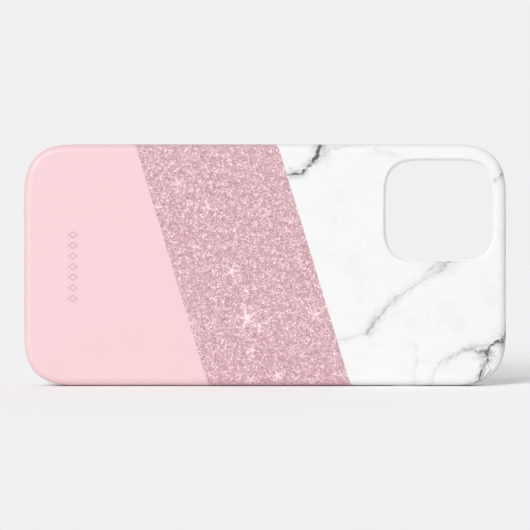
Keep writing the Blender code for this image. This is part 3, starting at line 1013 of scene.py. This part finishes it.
def elastomer_material(name, dark, light, roughness):
    """Soft moulded elastomer: matt, a little translucent, with a fine grain and faint flow marks."""
    material, graph, surface = new_material(name)
    place = position_mm(graph)
    flow = graph.noise(place, scale=0.05, detail=4.0, roughness=0.55, distortion=0.8)
    graph.feed(surface["Base Color"], graph.ramp(flow, ((0.3, dark), (0.7, light))))
    grain = graph.noise(place, scale=4.0, detail=3.0, roughness=0.65)
    graph.feed(surface["Roughness"], graph.ease(grain, 0.3, 0.7, roughness - 0.06, roughness + 0.06))
    graph.feed(surface["Subsurface Weight"], 0.12)
    graph.feed(surface["Subsurface Radius"], (0.0012, 0.0011, 0.0011))
    graph.feed(surface["Subsurface Scale"], 0.6)
    graph.feed(surface["Sheen Weight"], 0.12)
    graph.feed(surface["Sheen Roughness"], 0.5)
    graph.feed(surface["Normal"], graph.bump(grain, strength=0.35, distance=0.00004))
    return material


def brushed_metal_material():
    """Rose-tinted anodised aluminium, brushed along the button."""
    material, graph, surface = new_material("brushed_rose_aluminium")
    x, y, z = graph.parts(position_mm(graph))
    stretched = graph.vector(x * 0.35, y * 14.0, z * 14.0)
    streaks = graph.noise(stretched, scale=1.0, detail=3.0, roughness=0.6)
    tone = graph.ramp(streaks, ((0.25, linear(214, 188, 184)), (0.75, linear(238, 216, 211))))
    graph.feed(surface["Base Color"], tone)
    graph.feed(surface["Metallic"], 1.0)
    graph.feed(surface["Roughness"], graph.ease(streaks, 0.2, 0.8, to_low=0.22, to_high=0.38))
    graph.feed(surface["Anisotropic"], 0.5)
    graph.feed(surface["Normal"], graph.bump(streaks, strength=0.25, distance=0.00001))
    return material


def floor_material():
    """A plain pale backdrop paper."""
    material, graph, surface = new_material("pale_paper")
    graph.feed(surface["Base Color"], (*FLOOR_TONE, 1.0))
    graph.feed(surface["Roughness"], 1.0)
    graph.feed(surface["Specular IOR Level"], 0.0)
    return material


def paint_shell(shell, coat, bare):
    """The printed coat covers the outside. Faces behind the layer's middle, seen from outside, stay bare."""
    shell.data.materials.append(coat)
    shell.data.materials.append(bare)
    middle = SHELL_WALL * 0.55
    half = (LENGTH / 2 - middle, HEIGHT / 2 - middle)
    for polygon in shell.data.polygons:
        a = (polygon.center.x - MIDDLE.x) * PER_MM
        b = (polygon.center.z - MIDDLE.z) * PER_MM
        depth = (polygon.center.y - cad_low.y) * PER_MM
        within = inside_outline(a, b, half, CORNER_REACH - middle, CORNER_POWER)
        polygon.material_index = 1 if within and depth > middle else 0


# ------------------------------------------------------------------------------- floor, light, view

BACKDROP = linear(240, 240, 240)
FLOOR_TONE = (0.96, 0.96, 0.96)
FLOOR_SIZE = 60.0

# The floor lies this far below the case, which leaves the thin dark line of a shadow under it.
FLOOR_GAP = 0.00025

# The dome's light from behind the case, from overhead and from the right.
DOME_BEHIND = 0.89
DOME_OVERHEAD = 0.577
DOME_RIGHT = 0.368

# One large soft light from the front left, as two overlapping discs: degrees up and strength of each.
KEY_LEFT = 25
KEY_DISCS = ((18, 1.74), (30, 1.245))
KEY_SPREAD = 26

# The camera, in metres: from the printed back, off the case's middle, and the width of its view there.
CAMERA_DISTANCE = 0.7
CAMERA_SHIFT = (-0.00001, -0.00005)
VIEW_WIDTH = 0.1652
CLIP_RANGE = (0.01, 200.0)
SENSOR = 36.0


def make_world():
    """A pale backdrop for the camera, and for everything else a soft dome, darkest towards the front left."""
    world = bpy.data.worlds.new("studio")
    bpy.context.scene.world = world
    world.use_nodes = True
    world.node_tree.nodes.clear()
    graph = Graph(world.node_tree)
    x, y, z = graph.parts(graph.node("ShaderNodeTexCoord", output="Generated"))
    right, behind, overhead = [graph.math("MAXIMUM", part, 0.0) for part in (x, y, z)]
    dome = behind * behind * DOME_BEHIND + right * right * DOME_RIGHT + overhead * DOME_OVERHEAD
    seen = graph.node("ShaderNodeLightPath", output="Is Camera Ray")
    tone = graph.mix(seen, graph.vector(dome, dome, dome), BACKDROP)
    background = graph.node("ShaderNodeBackground", {"Color": tone})
    output = world.node_tree.nodes.new("ShaderNodeOutputWorld")
    graph.feed(output.inputs["Surface"], background)


def make_key_lights():
    for up, strength in KEY_DISCS:
        azimuth, elevation = math.radians(KEY_LEFT), math.radians(up)
        level = math.cos(elevation)
        towards = Vector((-math.sin(azimuth) * level, -math.cos(azimuth) * level, math.sin(elevation)))
        light = bpy.data.lights.new("key", "SUN")
        light.energy = strength
        light.angle = math.radians(KEY_SPREAD)
        obj = bpy.data.objects.new("key", light)
        obj.rotation_mode = "QUATERNION"
        obj.rotation_quaternion = towards.to_track_quat("Z", "Y")
        bpy.context.scene.collection.objects.link(obj)


def make_floor():
    bm = bmesh.new()
    bmesh.ops.create_grid(bm, x_segments=1, y_segments=1, size=FLOOR_SIZE)
    floor = finish_mesh(bm, "floor")
    floor.location = (MIDDLE.x, MIDDLE.y, cad_low.z - FLOOR_GAP)
    floor.data.materials.append(floor_material())


def make_camera():
    """Straight at the printed back, level with the case's middle."""
    data = bpy.data.cameras.new("camera")
    data.sensor_width = SENSOR
    data.lens = SENSOR * CAMERA_DISTANCE / VIEW_WIDTH
    data.clip_start, data.clip_end = CLIP_RANGE
    camera = bpy.data.objects.new("camera", data)
    across, up = CAMERA_SHIFT
    camera.location = (MIDDLE.x + across, cad_low.y - CAMERA_DISTANCE, MIDDLE.z + up)
    camera.rotation_euler = (math.radians(90), 0, 0)
    bpy.context.scene.collection.objects.link(camera)
    bpy.context.scene.camera = camera


# ----------------------------------------------------------------------------------------- assembly


def build_shell():
    shell = make_shell()
    paint_shell(shell, print_material(), bare_plastic_material())
    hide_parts("outer_shell")
    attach(shell, "shell")


def build_liner():
    liner = make_liner()
    liner.data.materials.append(elastomer_material(*LINER_ELASTOMER))
    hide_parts("inner_liner")
    pads = make_floor_pads()
    # The pads' lighter tone is a painted highlight that sets their tops off from the grooves.
    pads.data.materials.append(elastomer_material(*PAD_ELASTOMER_PAINTED_LIGHTER))
    for piece in (liner, pads):
        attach(piece, "liner")


def build_buttons():
    """The caps, and the plungers, which stay the CAD's own solids with a better material."""
    metal = brushed_metal_material()
    plunger_soft = elastomer_material(*PLUNGER_ELASTOMER)
    for button, (side, x, length) in BUTTONS.items():
        cap = make_cap(button + "_cap", side, x, length)
        cap.data.materials.append(metal)
        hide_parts(button + "_cap")
        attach(cap, button)
        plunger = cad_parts[button + "_plunger"]
        plunger.data.materials.clear()
        plunger.data.materials.append(plunger_soft)


build_shell()
build_liner()
build_buttons()
make_floor()
make_world()
make_key_lights()
make_camera()
bpy.context.scene.view_settings.view_transform = "Standard"
